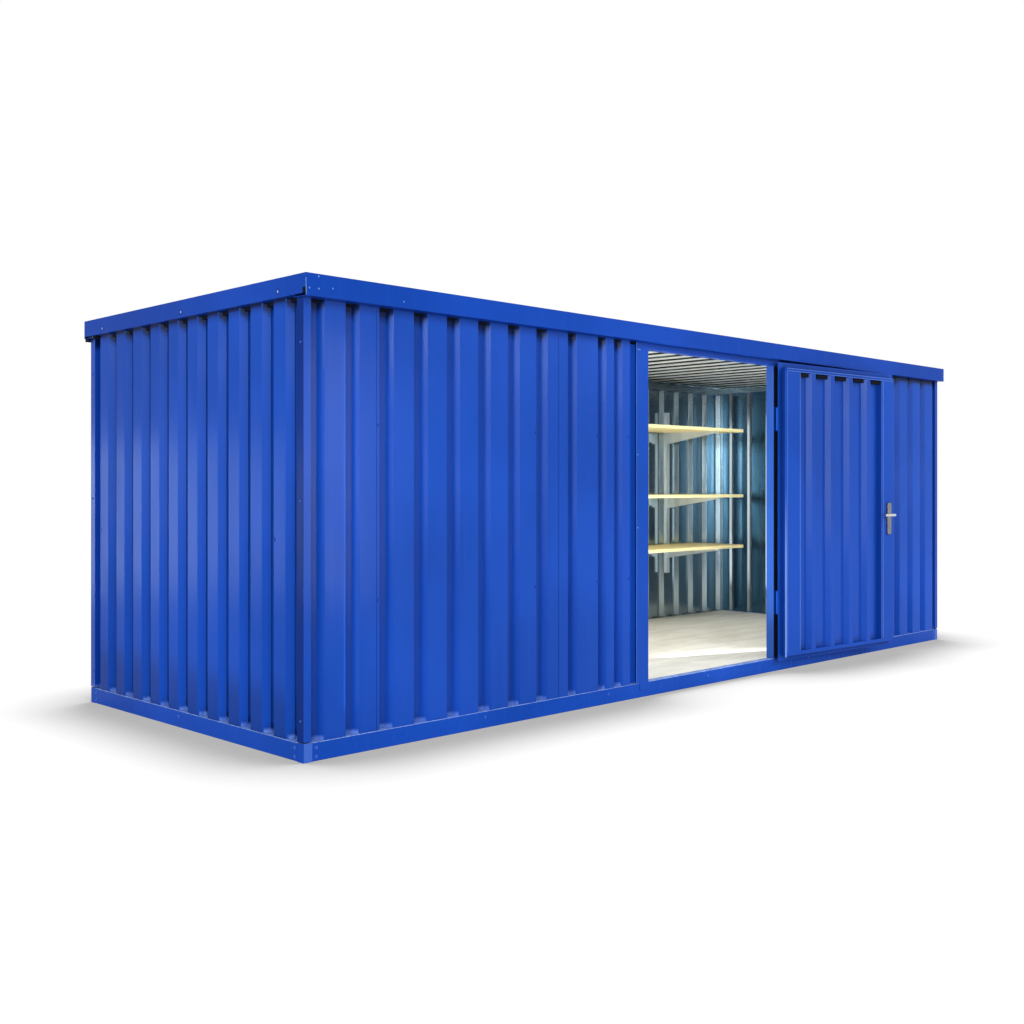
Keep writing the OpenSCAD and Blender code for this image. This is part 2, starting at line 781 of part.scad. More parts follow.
// Hollow stile with a flat outer plate that runs on as the lap flange
module stile(box_from, box_to, plate_from, plate_to) {
    tall = rail_high_foot - rail_low_top;
    color(paint)
        on_leaf()
            translate([0, flange_n, rail_low_top]) {
                translate([box_from, 0, 0]) tube([box_to - box_from, leaf_t, tall], leaf_sheet_t);
                translate([plate_from, 0, 0]) cube([plate_to - plate_from, leaf_sheet_t, tall]);
            }
}
module door_hinge_stile() { stile(leaf_start, sheet_start, flange_start, sheet_start); }
module door_lock_stile() {
    difference() {
        stile(sheet_end, leaf_end, sheet_end, flange_end);
        on_leaf()
            translate([handle_s, flange_n - 1, handle_z]) {
                rotate([-90, 0, 0]) cylinder(h = leaf_t + 2, r = spindle_hole_r, $fn = 32);
                translate([0, 0, -key_drop])
                    rotate([-90, 0, 0]) cylinder(h = leaf_t + 2, r = key_r + fit, $fn = 32);
            }
    }
}

// Hollow rail with closed ends; its plate runs on past the box as the lap flange
module leaf_rail(box_foot, plate_foot, plate_top) {
    color(paint)
        on_leaf()
            translate([0, flange_n, 0]) {
                translate([leaf_start, 0, box_foot])
                    difference() {
                        cube([leaf_end - leaf_start, leaf_t, leaf_rail_h]);
                        translate([leaf_sheet_t, leaf_sheet_t, leaf_sheet_t])
                            cube([leaf_end - leaf_start - 2 * leaf_sheet_t, leaf_t - 2 * leaf_sheet_t,
                                  leaf_rail_h - 2 * leaf_sheet_t]);
                    }
                translate([flange_start, 0, plate_foot])
                    cube([flange_end - flange_start, leaf_sheet_t, plate_top - plate_foot]);
            }
}
module door_top_rail() { leaf_rail(rail_high_foot, rail_high_foot, flange_high); }
module door_bottom_rail() { leaf_rail(leaf_low, flange_low, rail_low_top); }

// ---- Lock and handle ----

// Plate with round corners, drawn standing, with its holes for spindle and key
module escutcheon() {
    difference() {
        translate([-plate_w / 2, 0, plate_top - plate_h])
            rotate([90, 0, 0]) mirror([0, 0, 1])
                linear_extrude(plate_t) round_rect(plate_w, plate_h, plate_round);
        rotate([-90, 0, 0]) translate([0, 0, -1])
            cylinder(h = plate_t + 2, r = spindle_hole_r, $fn = 32);
        translate([0, -1, -key_drop]) rotate([-90, 0, 0])
            cylinder(h = plate_t + 2, r = key_r + fit, $fn = 32);
    }
}

module door_escutcheons() {
    color(steel)
        on_leaf()
            for (n = [inside_n, flange_n - plate_t])
                translate([handle_s, n, handle_z]) escutcheon();
}

// Key cylinder through both plates
module door_lock() {
    proud = 2;
    color(steel)
        on_leaf()
            translate([handle_s, flange_n - plate_t - proud, handle_z - key_drop])
                rotate([-90, 0, 0])
                    cylinder(h = leaf_t + 2 * plate_t + 2 * proud, r = key_r, $fn = 32);
}

// Levers on both sides of the leaf, joined by the spindle through it
module door_lever() {
    bar_n = lever_neck - lever_r;
    through = leaf_t + 2 * plate_t;
    color(steel)
        on_leaf()
            translate([handle_s, flange_n - plate_t, handle_z]) {
                rotate([-90, 0, 0]) cylinder(h = through, r = spindle_r, $fn = 32);
                for (side = [0, 1])
                    translate([0, side * through, 0]) mirror([0, 1 - side, 0]) {
                        translate([0, fit, 0]) rotate([-90, 0, 0])
                            cylinder(h = bar_n - fit, r = neck_r, $fn = 32);
                        rotate([-90, 0, 0]) cylinder(h = 1, r = spindle_r, $fn = 32);
                        translate([lever_r, bar_n, 0]) rotate([0, -90, 0])
                            cylinder(h = lever_len, r = lever_r, $fn = 32);
                    }
            }
}

base_rail_front();
base_rail_rear();
base_rail_left();
base_rail_right();
base_corner_blocks();
floor_joists();
floor_panel_left();
floor_panel_middle();
floor_panel_right();
corner_post_front_left();
corner_post_front_right();
corner_post_rear_left();
corner_post_rear_right();
door_post_left();
door_post_right();
door_header();
wall_front_corner_sheet();
wall_front_main_sheet();
wall_front_closing_sheet();
wall_front_right_inner_sheet();
wall_front_right_outer_sheet();
wall_rear_left_sheet();
wall_rear_middle_sheet();
wall_rear_right_sheet();
wall_end_left();
wall_end_right();
roof_profile_front();
roof_profile_rear();
roof_end_left();
roof_end_right();
roof_sheet_left();
roof_sheet_middle();
roof_sheet_right();
shelf_uprights();
shelf_brackets();
shelf_board_low();
shelf_board_middle();
shelf_board_top();
hinge_frame_halves();
door_sheet();
door_hinge_stile();
door_lock_stile();
door_top_rail();
door_bottom_rail();
door_hinge_halves();
door_escutcheons();
door_lock();
door_lever();
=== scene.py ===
"""Storage container: camera, light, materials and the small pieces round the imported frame."""
import json
import math
import bmesh
import bpy
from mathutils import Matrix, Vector


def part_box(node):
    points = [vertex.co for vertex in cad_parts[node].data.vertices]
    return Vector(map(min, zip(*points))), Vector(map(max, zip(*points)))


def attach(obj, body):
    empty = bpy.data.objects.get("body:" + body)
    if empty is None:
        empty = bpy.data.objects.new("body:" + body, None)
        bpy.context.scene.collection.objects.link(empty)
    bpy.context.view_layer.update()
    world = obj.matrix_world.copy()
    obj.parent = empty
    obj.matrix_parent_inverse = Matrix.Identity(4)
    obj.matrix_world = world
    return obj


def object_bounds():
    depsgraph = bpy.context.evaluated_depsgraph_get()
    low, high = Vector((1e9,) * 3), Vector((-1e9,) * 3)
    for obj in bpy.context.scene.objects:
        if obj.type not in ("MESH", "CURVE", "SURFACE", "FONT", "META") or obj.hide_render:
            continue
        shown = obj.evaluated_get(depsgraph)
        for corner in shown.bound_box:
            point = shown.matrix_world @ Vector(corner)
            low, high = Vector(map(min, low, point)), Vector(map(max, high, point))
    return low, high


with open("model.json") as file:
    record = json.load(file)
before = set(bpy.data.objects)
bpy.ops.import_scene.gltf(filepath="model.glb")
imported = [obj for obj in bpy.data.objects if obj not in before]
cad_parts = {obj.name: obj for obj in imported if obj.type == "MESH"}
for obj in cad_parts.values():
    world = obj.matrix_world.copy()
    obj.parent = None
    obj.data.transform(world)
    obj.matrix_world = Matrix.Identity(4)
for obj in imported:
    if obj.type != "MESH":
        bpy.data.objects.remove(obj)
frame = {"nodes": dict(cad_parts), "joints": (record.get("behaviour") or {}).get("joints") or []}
cad_lo, cad_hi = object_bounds()
NODES = frame["nodes"]


# ---------------------------------------------------------------- camera

def make_camera():
    """The photograph's view: level, with the lens shifted as the picture's crop asks."""
    data = bpy.data.cameras.new("camera")
    cam = bpy.data.objects.new("camera", data)
    bpy.context.scene.collection.objects.link(cam)
    cam.location = (-6.010, -5.370, 1.216)
    cam.rotation_euler = (math.pi / 2, 0, -0.77443)
    data.sensor_width = 36
    data.lens = 41.546
    data.shift_x = 0.00515
    data.shift_y = -0.02482
    data.clip_start = 0.1
    data.clip_end = 200
    bpy.context.scene.camera = cam


# ---------------------------------------------------------------- node helpers

class Graph:
    """Short calls for building a node tree."""

    def __init__(self, tree):
        self.tree = tree
        tree.nodes.clear()

    def node(self, kind, ins=None, **props):
        n = self.tree.nodes.new(kind)
        for k, v in props.items():
            setattr(n, k, v)
        for k, v in (ins or {}).items():
            self.put(n.inputs[k], v)
        return n

    def put(self, socket, v):
        if isinstance(v, bpy.types.NodeSocket):
            self.tree.links.new(v, socket)
        elif isinstance(v, bpy.types.Node):
            self.tree.links.new(v.outputs[0], socket)
        else:
            socket.default_value = v

    def math(self, op, a, b=0.0):
        return self.node("ShaderNodeMath", {0: a, 1: b}, operation=op).outputs[0]

    def remap(self, v, lo, hi, to_lo=0.0, to_hi=1.0, smooth=True):
        return self.node("ShaderNodeMapRange",
                         {"Value": v, "From Min": lo, "From Max": hi, "To Min": to_lo, "To Max": to_hi},
                         interpolation_type="SMOOTHSTEP" if smooth else "LINEAR").outputs[0]

    def mix(self, fac, a, b):
        n = self.node("ShaderNodeMix", data_type="RGBA")
        self.put(n.inputs[0], fac)
        self.put(n.inputs[6], a)
        self.put(n.inputs[7], b)
        return n.outputs[2]

    def place(self, scale=(1, 1, 1)):
        """The point's place in the shared frame, stretched."""
        pos = self.node("ShaderNodeTexCoord").outputs["Object"]
        return self.node("ShaderNodeMapping", {"Vector": pos, "Scale": scale}).outputs[0]

    def noise(self, scale, stretch=(1, 1, 1), detail=4.0, rough=0.5):
        return self.node("ShaderNodeTexNoise",
                         {"Vector": self.place(stretch), "Scale": scale, "Detail": detail,
                          "Roughness": rough}).outputs[0]

    def cells(self, scale, stretch=(1, 1, 1)):
        return self.node("ShaderNodeTexVoronoi", {"Vector": self.place(stretch), "Scale": scale})

    def xyz(self):
        """The point's place in the shared frame, in metres, as three outputs."""
        pos = self.node("ShaderNodeTexCoord").outputs["Object"]
        return self.node("ShaderNodeSeparateXYZ", {0: pos}).outputs

    def facing(self, kind="True Normal"):
        """The face's direction, as three outputs."""
        normal = self.node("ShaderNodeNewGeometry").outputs[kind]
        return self.node("ShaderNodeSeparateXYZ", {0: normal}).outputs

    def bump(self, height, strength, distance, normal=None):
        ins = {"Strength": strength, "Distance": distance, "Height": height}
        if normal is not None:
            ins["Normal"] = normal
        return self.node("ShaderNodeBump", ins).outputs[0]


def shaded(color, factor):
    """A linear colour times a factor, opaque."""
    return tuple(c * factor for c in color[:3]) + (1,)


def srgb(r, g, b):
    """sRGB 0-255 to linear RGBA."""
    def f(c):
        c /= 255
        return c / 12.92 if c <= 0.04045 else ((c + 0.055) / 1.055) ** 2.4
    return (f(r), f(g), f(b), 1)


def new_material(name):
    m = bpy.data.materials.new(name)
    m.use_nodes = True
    return m, Graph(m.node_tree)


def close(g, color, rough, normal=None, **fixed):
    """Ends a material with a principled shader; fixed are its own sockets, by name."""
    ins = {"Base Color": color, "Roughness": rough}
    ins.update({k.replace("_", " "): v for k, v in fixed.items()})
    if normal is not None:
        ins["Normal"] = normal
    bsdf = g.node("ShaderNodeBsdfPrincipled", ins)
    g.node("ShaderNodeOutputMaterial", {0: bsdf})


# ---------------------------------------------------------------- materials

# Shades of the paint, as displayed colours: scuffs, and painted highlights, reflection and shadows
SCRATCH_AND_HIGHLIGHT = (152, 178, 234)
SCUFFED = (120, 150, 222)
PAINTED_SHEEN = (120, 152, 224)
HEAD_SHADOW_RING = (10, 34, 96)
HEAD_HIGHLIGHT = (128, 158, 222)
NOTCH_SHADOW = (6, 9, 22)


def paint(name, rgb=(22, 73, 172), rough=0.2, specular=0.07, wear_and_highlight=0.0, foot=0.0, nooks=0.0, eave=0.0,
          ledge=None, heads=None, lower_sheen=0.0):
    """Coated blue sheet: slow colour drift, fine vertical streaks, orange peel, scuffs, painted shade and
    highlights.

    foot paints shade on the short sides' flats near the ground, nooks paints shade into inner corners, and
    more so
    below the height eave. ledge is (height, axis, reach): scuffs above a ledge, within that reach of the
    axis.
    wear_and_highlight paints scratches and a painted highlight on the faces that look up. heads is
    ([(y, z), ...], corner y): painted flush screw heads in a short side's fascia, a painted highlight in a
    painted shadow ring, and a painted shadow in the notch at its front corner. lower_sheen paints a strip's
    lower half paler, as a painted reflection."""
    m, g = new_material(name)
    drift = g.noise(0.9, detail=3.0)
    streak = g.noise(26.0, (1, 1, 0.03), detail=3.0)
    base = srgb(*rgb)
    lite = tuple(min(1, c * 1.10 + 0.002) for c in base[:3]) + (1,)
    color = g.mix(g.remap(drift, 0.35, 0.65), shaded(base, 0.90), lite)
    color = g.mix(g.remap(streak, 0.45, 0.75, 0.0, 0.35), color, lite)
    rough_in = g.remap(g.noise(7.0, (1, 1, 0.3)), 0.3, 0.7, rough - 0.04, rough + 0.05)
    # Painted shade: the short sides' flats are darkened near the ground, for the ground's reflected shadow.
    if foot:
        foot_shade = g.math("MULTIPLY", g.remap(g.xyz()[2], 0.40, 0.20, 0.0, foot),
                       g.remap(streak, 0.2, 0.6, 0.8, 1.0))
        foot_shade = g.math("MULTIPLY", foot_shade, g.remap(g.math("ABSOLUTE", g.facing()[0]), 0.7, 0.9))
        color = g.mix(foot_shade, color, shaded(base, 0.35))
    # Painted shade: inner corners, and the band below the eave, are darkened by ambient occlusion.
    if nooks:
        color = g.mix(nook_shade(g, nooks, eave, ledge), color, shaded(base, 0.08))
    # Scratches and a painted highlight: faces that look up are paled, partly as scuffs, partly as light from
    # above.
    if wear_and_highlight:
        scuff = g.noise(38.0, (1, 1, 1), detail=8.0, rough=0.7)
        worn_and_lit = g.remap(g.facing("Normal")[2], 0.12, 0.6, 0.0, wear_and_highlight)
        color = g.mix(g.math("MULTIPLY", g.remap(scuff, 0.38, 0.60, 0.55, 1.0), worn_and_lit), color,
                      srgb(*SCRATCH_AND_HIGHLIGHT))
    if ledge:
        height, axis, reach = ledge
        rub = g.remap(g.noise(30.0, (1, 1, 0.7), detail=6.0, rough=0.65), 0.34, 0.62, 0.2, 0.75)
        mask = g.math("MULTIPLY", rub, g.remap(g.xyz()[2], height + 0.026, height + 0.004))
        inner = g.remap(g.math("ABSOLUTE", g.xyz()[axis]), reach, reach - 0.006)
        color = g.mix(g.math("MULTIPLY", mask, inner), color, srgb(*SCUFFED))
    # Painted heads: a pale painted highlight inside a dark painted shadow ring, and a painted shadow in the
    # notch.
    if heads:
        places, corner_y = heads
        color = g.mix(head_mask(g, places, 0.0150, 0.0110), color, srgb(*HEAD_SHADOW_RING))
        color = g.mix(head_mask(g, places, 0.0085, 0.0060), color, srgb(*HEAD_HIGHLIGHT))
        color = g.mix(notch_shadow_mask(g, corner_y, places[0][1]), color, srgb(*NOTCH_SHADOW))
    # Painted reflection: a strip is paler lower down, fading out by 1.3 m.
    if lower_sheen:
        color = g.mix(g.remap(g.xyz()[2], 1.30, 0.62, 0.0, lower_sheen), color, srgb(*PAINTED_SHEEN))
    normal = g.node("ShaderNodeBevel", {"Radius": 0.0025}, samples=4)
    normal = g.bump(g.noise(420.0, detail=2.0), 0.12, 0.0004, normal)
    normal = g.bump(g.noise(3.2, (1, 1, 0.35), detail=2.0), 0.16, 0.004, normal)
    close(g, color, rough_in, normal, Specular_IOR_Level=specular)
    return m


def nook_shade(g, nooks, eave, ledge):
    """How much painted shade an inner corner gets: less on the folds' slopes, most just below the eave."""
    near = g.node("ShaderNodeAmbientOcclusion", {"Distance": 0.055}, samples=8).outputs["AO"]
    face = g.facing()
    square = g.math("MAXIMUM", g.math("ABSOLUTE", face[0]), g.math("ABSOLUTE", face[1]))
    deep = g.math("MULTIPLY", g.remap(square, 0.88, 0.95, 0.25, 1.0), nooks)
    if eave:
        under = g.remap(g.xyz()[2], eave - 0.10, eave - 0.03, 0.0, 0.97)
        if ledge:
            _, axis, reach = ledge
            off = g.math("ABSOLUTE", g.xyz()[axis])
            under = g.math("MULTIPLY", under, g.remap(off, reach + 0.002, reach - 0.002, 0.3, 1.0))
        deep = g.math("MAXIMUM", deep, under)
    return g.math("MULTIPLY", g.remap(near, 0.72, 0.97, 1.0, 0.0), deep)


def on_short_side(g):
    """1 on the faces that look along the building's length."""
    return g.math("GREATER_THAN", g.math("ABSOLUTE", g.facing()[0]), 0.9)


def head_mask(g, places, outer, inner):
    """1 within the inner distance of any of the (y, z) places on a short side, 0 beyond the outer."""
    _, y, z = g.xyz()
    mask = 0.0
    for at_y, at_z in places:
        flat = g.node("ShaderNodeCombineXYZ",
                      {0: g.math("SUBTRACT", y, at_y), 1: g.math("SUBTRACT", z, at_z)})
        reach = g.node("ShaderNodeVectorMath", {0: flat}, operation="LENGTH").outputs["Value"]
        mask = g.math("MAXIMUM", mask, g.remap(reach, outer, inner))
    return g.math("MULTIPLY", mask, on_short_side(g))


def notch_shadow_mask(g, corner_y, head_z):
    """1 in the notch at the front corner of a short side's fascia, below the line of the heads, where a
    shadow is painted.
    """
    _, y, z = g.xyz()
    front = g.remap(y, corner_y + 0.027, corner_y + 0.024)
    below = g.remap(z, head_z - 0.001, head_z - 0.004)
    return g.math("MULTIPLY", g.math("MULTIPLY", front, below), on_short_side(g))


def galvanised(name, rgb=(196, 214, 224), rough=0.15, metallic=0.94):
    """Hot-dip zinc: smooth with faint spangle, long rolling streaks and slow stains."""
    m, g = new_material(name)
    tone = g.node("ShaderNodeSeparateColor", {0: g.cells(140.0).outputs["Color"]}).outputs
    base = srgb(*rgb)
    color = g.mix(g.remap(tone[0], 0.0, 1.0, smooth=False), shaded(base, 0.93), base)
    streak = g.noise(14.0, (1, 1, 0.05), detail=4.0)
    color = g.mix(g.remap(streak, 0.4, 0.7, 0.0, 0.45), color, shaded(base, 0.72))
    stain = g.noise(3.5, (1, 1, 0.25), detail=5.0)
    color = g.mix(g.remap(stain, 0.5, 0.72, 0.0, 0.3), color, srgb(168, 186, 198))
    rough_in = g.remap(streak, 0.3, 0.7, rough - 0.03, rough + 0.08)
    normal = g.node("ShaderNodeBevel", {"Radius": 0.002}, samples=4)
    normal = g.bump(tone[2], 0.02, 0.0004, normal)
    normal = g.bump(g.noise(4.0, (1, 1, 0.12), detail=2.0), 0.25, 0.005, normal)
    close(g, color, rough_in, normal, Metallic=metallic)
    return m


def stainless(name, dark=(112, 114, 117), lite=(152, 153, 154)):
    """Satin steel with a fine upright grain."""
    m, g = new_material(name)
    grain = g.noise(300.0, (1, 1, 0.04), detail=3.0)
    color = g.mix(grain, srgb(*dark), srgb(*lite))
    rough_in = g.remap(grain, 0.3, 0.7, 0.24, 0.36)
    normal = g.node("ShaderNodeBevel", {"Radius": 0.0015}, samples=4)
    normal = g.bump(grain, 0.08, 0.0004, normal)
    close(g, color, rough_in, normal, Metallic=1.0)
    return m


def board(name):
    """Melamine-faced shelf board: pale yellow with chip grain."""
    m, g = new_material(name)
    chip = g.cells(260.0, (0.5, 1, 1.4))
    tone = g.node("ShaderNodeSeparateColor", {0: chip.outputs["Color"]}).outputs[0]
    grain = g.noise(24.0, (0.25, 1, 1), detail=6.0)
    color = g.mix(tone, srgb(220, 203, 140), srgb(244, 232, 180))
    color = g.mix(g.remap(grain, 0.35, 0.7, 0.0, 0.6), color, srgb(236, 221, 164))
    normal = g.bump(tone, 0.25, 0.0006)
    close(g, color, g.remap(grain, 0.3, 0.7, 0.42, 0.6), normal)
    return m


def floor_board(name):
    """Coated board floor: cream-grey, with faint streaks and blotches."""
    m, g = new_material(name)
    streak = g.noise(9.0, (0.22, 1, 1), detail=8.0, rough=0.62)
    blotch = g.noise(2.4, detail=4.0)
    fine = g.noise(90.0, (0.4, 1, 1), detail=4.0)
    color = g.mix(g.remap(streak, 0.35, 0.68), srgb(246, 244, 236), srgb(226, 223, 213))
    color = g.mix(g.remap(blotch, 0.48, 0.7, 0.0, 0.4), color, srgb(212, 208, 198))
    color = g.mix(g.remap(fine, 0.55, 0.75, 0.0, 0.35), color, srgb(196, 190, 178))
    normal = g.bump(fine, 0.15, 0.0006)
    close(g, color, g.remap(blotch, 0.3, 0.7, 0.45, 0.65), normal)
    return m


def foam(name):
    """Dark closed-cell foam of the profile fillers and the bearing pads."""
    m, g = new_material(name)
    pore = g.cells(900.0).outputs["Distance"]
    patch = g.noise(60.0, detail=4.0)
    color = g.mix(patch, srgb(7, 9, 16), srgb(20, 23, 34))
    close(g, color, g.remap(patch, 0.3, 0.7, 0.8, 0.95), g.bump(pore, 0.4, 0.0006), Specular_IOR_Level=0.1)
    return m


# ---------------------------------------------------------------- stage and light

def seen_rays(g):
    """1 for the rays that look straight at a thing, or see it in gloss or through glass."""
    ray = g.node("ShaderNodeLightPath").outputs
    return g.math("MAXIMUM", ray["Is Camera Ray"],
                  g.math("MAXIMUM", ray["Is Glossy Ray"], ray["Is Transmission Ray"]))


def studio():
    """White ground whose shadow hugs the object, and a world that is white where it is seen."""
    scene = bpy.context.scene
    scene.view_settings.view_transform = "Standard"

    world = bpy.data.worlds.new("studio")
    scene.world = world
    world.use_nodes = True
    g = Graph(world.node_tree)
    shade = g.mix(seen_rays(g), (0.36, 0.375, 0.405, 1), (1, 1, 1, 1))
    back = g.node("ShaderNodeBackground", {"Color": shade, "Strength": 1.0})
    g.node("ShaderNodeOutputWorld", {0: back})

    mesh = bpy.data.meshes.new("ground")
    half = 60
    corners = [(-half, -half, 0), (half, -half, 0), (half, half, 0), (-half, half, 0)]
    mesh.from_pydata(corners, [], [(0, 1, 2, 3)])
    ground = bpy.data.objects.new("ground", mesh)
    scene.collection.objects.link(ground)
    m, g = new_material("ground_white")
    ao = g.node("ShaderNodeAmbientOcclusion", {"Distance": 0.64}, samples=16)
    shadow = g.remap(ao.outputs["AO"], 0.65, 1.0, 0.46, 1.03, smooth=False)
    white = g.node("ShaderNodeEmission", {"Color": shadow, "Strength": 1.0})
    matt = g.node("ShaderNodeBsdfDiffuse", {"Color": (0.8, 0.8, 0.8, 1)})
    both = g.node("ShaderNodeMixShader", {0: seen_rays(g), 1: matt, 2: white})
    g.node("ShaderNodeOutputMaterial", {0: both})
    mesh.materials.append(m)


def area(name, at, to, size, power, gloss=True, tint=(1, 1, 1)):
    """A soft box at one place, aimed at another."""
    data = bpy.data.lights.new(name, "AREA")
    data.shape = "RECTANGLE"
    data.size, data.size_y = size
    data.energy = power
    data.color = tint
    o = bpy.data.objects.new(name, data)
    bpy.context.scene.collection.objects.link(o)
    o.location = at
    o.rotation_euler = (Vector(to) - Vector(at)).to_track_quat("-Z", "Y").to_euler()
    o.visible_camera = False
    o.visible_glossy = gloss


def lights():
    """Soft boxes: key and fills light the object, the strips and boxes lay pale bands in the gloss."""
    cool = (0.80, 0.95, 1.0)
    area("key", (-6.5, -8.0, 6.0), (-0.5, -0.5, 0.8), (5, 4), 45, gloss=False)
    area("high_strip", (-9.2, -6.2, 3.0), (-0.5, -1.0, 1.6), (8.0, 0.7), 375, tint=cool)
    area("far_strip", (-18.9, -8.4, 1.45), (-0.5, -1.0, 1.2), (11.5, 2.2), 490, tint=cool)
    area("far_strip_right", (-13.3, -13.3, 1.45), (2.5, -1.0, 1.2), (5.0, 2.2), 430, tint=cool)
    area("corner_box", (0.2, -5.6, 1.4), (-2.9, -1.0, 1.2), (1.0, 2.4), 48)
    area("end_box", (-6.12, 5.29, 0.92), (-3.1, -0.04, 1.0), (2.3, 1.5), 48, tint=cool)
    area("fill", (7.0, -7.0, 4.5), (2.6, -1.0, 1.1), (5, 4), 330, gloss=False)
    area("rear_fill", (4.0, 9.0, 5.0), (0, 0, 1.0), (6, 4), 330, gloss=False)
    area("room_lamp", (-0.9, -0.2, 2.0), (1.2, 0.5, 0.5), (1.4, 0.4), 31, gloss=False)
    area("room_lamp_right", (2.0, -0.5, 2.0), (1.6, 0.75, 0.6), (0.6, 0.6), 12, gloss=False)
    area("door_lamp", (-0.2, -0.3, 2.02), (0.1, -0.5, 0.0), (0.8, 0.5), 6, gloss=False)
    area("low_room_lamp", (0.6, -0.7, 0.22), (1.2, 1.0, 0.62), (0.9, 0.25), 3, gloss=False)
    area("floor_glow_left", (0.0, -0.50, 0.30), (0.1, -0.50, 2.1), (0.7, 0.4), 24, gloss=False)
    area("floor_glow_right", (1.2, -0.50, 0.30), (1.2, -0.50, 2.1), (0.7, 0.4), 24, gloss=False)
    area("room_strip_left", (-2.8, -0.55, 1.05), (0.0, -0.55, 1.05), (1.0, 1.7), 8)
    area("room_strip_right", (2.76, -0.93, 1.05), (2.76, 0.5, 1.05), (0.3, 1.7), 3.5)


# ---------------------------------------------------------------- nodes' finishes

LEFT, RIGHT = Vector((-1, 0, 0)), Vector((1, 0, 0))
FRONT, REAR = Vector((0, -1, 0)), Vector((0, 1, 0))
UP = Vector((0, 0, 1))

# Heights and distances that finishes and pieces share
RAIL_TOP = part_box("base_rail_front")[1].z
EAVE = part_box("roof_profile_front")[0].z
END_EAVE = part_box("roof_end_left")[0].z
FRAME_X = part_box("base_corner_blocks")[1].x
FRAME_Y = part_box("base_corner_blocks")[1].y

# A node takes the finish of the longest start that its name has, or else "wall"
KINDS = {
    "base_": "frame", "hinge_": "plain", "wall_end": "end_wall", "door_": "plain",
    "door_sheet": "wall", "wall_front_right": "lit_far_wall", "roof_profile": "trim", "roof_end": "end_trim",
    "floor_joists": "zinc", "floor_panel": "deck",
    "roof_sheet": "zinc", "shelf_board": "wood", "shelf_": "zinc_pale_and_lit",
    "door_escutcheons": "steel", "door_lock": "steel", "door_lever": "bright_steel",
    "door_lock_stile": "plain",
}


def make_materials():
    """The finishes, by short names."""
    skin = 0.004
    front_reach = -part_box("wall_front_main_sheet")[0].y - skin
    end_reach = -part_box("wall_end_left")[0].x - skin
    head_z = END_EAVE + 0.028
    heads = [(y, head_z) for y in (-0.866, 0.0, 0.866)]
    return {
        "wall": paint("wall_blue", specular=0.085, nooks=0.30, eave=EAVE, ledge=(RAIL_TOP, 1, front_reach)),
        # Painted light: the front wall's right part is a lighter copy of the wall's blue.
        "lit_far_wall": paint("lit_far_wall_blue", rgb=(24, 80, 184), specular=0.05, nooks=0.30, eave=EAVE),
        "groove": paint("lit_groove_blue", rgb=(34, 98, 222), specular=0.05),
        "reveal": paint("shaded_reveal_blue", rgb=(40, 76, 150), specular=0.09),
        "plain": paint("plain_blue", specular=0.055, nooks=0.35),
        "frame": paint("frame_blue", rough=0.26, specular=0.045, wear_and_highlight=0.9),
        "block": paint("block_reflection_blue", rgb=(66, 104, 194), rough=0.3, wear_and_highlight=0.6),
        "trim": paint("trim_blue", rgb=(20, 68, 166), specular=0.03, nooks=0.5),
        "end_trim": paint("end_trim_blue", rgb=(20, 68, 166), specular=0.03,
                          heads=(heads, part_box("roof_end_left")[0].y)),
        # Pale heads, and painted highlights on lips and folds.
        "edge": paint("pale_heads_and_highlight_blue", rgb=(112, 148, 222)),
        "pale_edge": paint("pale_highlight_blue", rgb=(146, 176, 230)),
        "bolt": paint("bolt_blue", rgb=(56, 98, 196), rough=0.3, specular=0.2),
        # Painted reflection on the hinge stile's step, paler lower down.
        "strip": paint("sheen_strip_blue", lower_sheen=0.85),
        "end_wall": paint("end_wall_blue", rgb=(22, 74, 174), specular=0.04, foot=0.5, nooks=0.97,
                          eave=END_EAVE, ledge=(RAIL_TOP, 0, end_reach)),
        "post_side": paint("post_side_blue", rgb=(9, 45, 122), specular=0.03),
        "zinc": galvanised("zinc", rgb=(164, 178, 184)),
        "zinc_pale_and_lit": galvanised("zinc_pale_and_lit", rgb=(222, 228, 228), rough=0.34, metallic=0.45),
        "zinc_roof": galvanised("zinc_roof", rgb=(176, 188, 194), rough=0.42, metallic=0.8),
        "zinc_shade_and_mastic": galvanised("zinc_shade_and_mastic", rgb=(26, 31, 34), rough=0.5, metallic=0.4),
        "zinc_teal_shade": galvanised("zinc_teal_shade", rgb=(76, 110, 130), rough=0.17),
        "steel": stainless("satin_steel"),
        "bright_steel": stainless("bright_steel", (196, 197, 198), (226, 226, 224)),
        "wood": board("shelf_board_face"),
        "deck": floor_board("deck_face"),
        "foam": foam("dark_foam"),
    }


def nodes_named(*starts):
    """The names of the nodes that begin with any of the starts."""
    return [n for n in NODES if n.startswith(starts)]


def repaint(node, material, test):
    """Gives a node's faces for which test(middle, normal) is true another material."""
    mesh = NODES[node].data
    index = len(mesh.materials)
    mesh.materials.append(material)
    for p in mesh.polygons:
        if test(p.center, p.normal):
            p.material_index = index


def finish_nodes(mats):
    """Each node's main finish, and then the faces that differ from it."""
    for name, o in NODES.items():
        fits = [k for k in KINDS if name.startswith(k)]
        kind = KINDS[max(fits, key=len)] if fits else "wall"
        o.data.materials.clear()
        o.data.materials.append(mats[kind])
        for p in o.data.polygons:
            p.material_index = 0
    finish_walls(mats)
    finish_frame(mats)
    finish_roof_sheets(mats)


